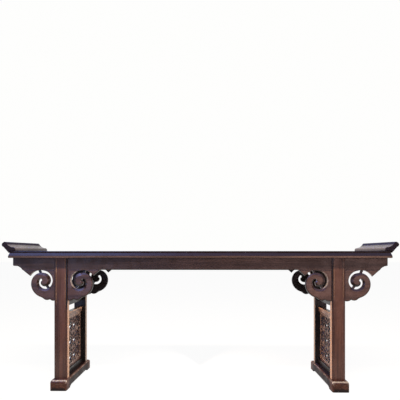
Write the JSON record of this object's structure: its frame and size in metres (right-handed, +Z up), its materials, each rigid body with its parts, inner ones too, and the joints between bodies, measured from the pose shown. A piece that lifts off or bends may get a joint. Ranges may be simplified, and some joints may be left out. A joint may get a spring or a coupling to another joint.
{
  "type": "altar table",
  "caption": "Long narrow altar table with upturned end flanges, cloud-scroll spandrels, plank legs on shoe feet and pierced carved panels in the side frames.",
  "frame": {"origin": "on the floor, under the middle of the table", "axes": "+X along the table, +Y to the back, +Z up"},
  "size_m": [2.448, 0.46, 0.9227],
  "materials": {
    "top_boards": "dark red-brown lacquered hardwood, satin",
    "top_frame": "dark red-brown lacquered hardwood, satin, moulded edge",
    "flange": "dark red-brown lacquered hardwood, glossy upper face",
    "leg": "red-brown lacquered hardwood, satin",
    "apron": "dark brown lacquered hardwood, satin",
    "spandrel": "dark brown lacquered hardwood, carved",
    "side_rail": "brown hardwood, thin lacquer",
    "carved_panel": "carved brown hardwood, worn lacquer",
    "shoe": "dark brown lacquered hardwood, worn edges",
    "inner_wood": "bare seasoned softwood, unseen"
  },
  "bodies": {
    "root": {"apron_back": "apron", "apron_end_left": "apron", "apron_end_right": "apron", "apron_front": "apron", "carved_panel_left": "carved_panel", "carved_panel_right": "carved_panel", "flange_left": "flange", "flange_loose_tenons": "inner_wood", "flange_right": "flange", "leg_back_left": "leg", "leg_back_right": "leg", "leg_front_left": "leg", "leg_front_right": "leg", "shoe_left": "shoe", "shoe_right": "shoe", "side_lower_rail_left": "side_rail", "side_lower_rail_right": "side_rail", "side_middle_rail_left": "side_rail", "side_middle_rail_right": "side_rail", "side_upper_rail_left": "side_rail", "side_upper_rail_right": "side_rail", "spandrel_back_left_inner": "spandrel", "spandrel_back_left_outer": "spandrel", "spandrel_back_right_inner": "spandrel", "spandrel_back_right_outer": "spandrel", "spandrel_front_left_inner": "spandrel", "spandrel_front_left_outer": "spandrel", "spandrel_front_right_inner": "spandrel", "spandrel_front_right_outer": "spandrel", "spandrel_loose_tenons": "inner_wood", "top_back_rail": "top_frame", "top_batten_1": "inner_wood", "top_batten_2": "inner_wood", "top_batten_3": "inner_wood", "top_batten_4": "inner_wood", "top_batten_5": "inner_wood", "top_board_1": "top_boards", "top_board_2": "top_boards", "top_board_3": "top_boards", "top_end_left": "top_frame", "top_end_right": "top_frame", "top_front_rail": "top_frame"}
  },
  "joints": []
}
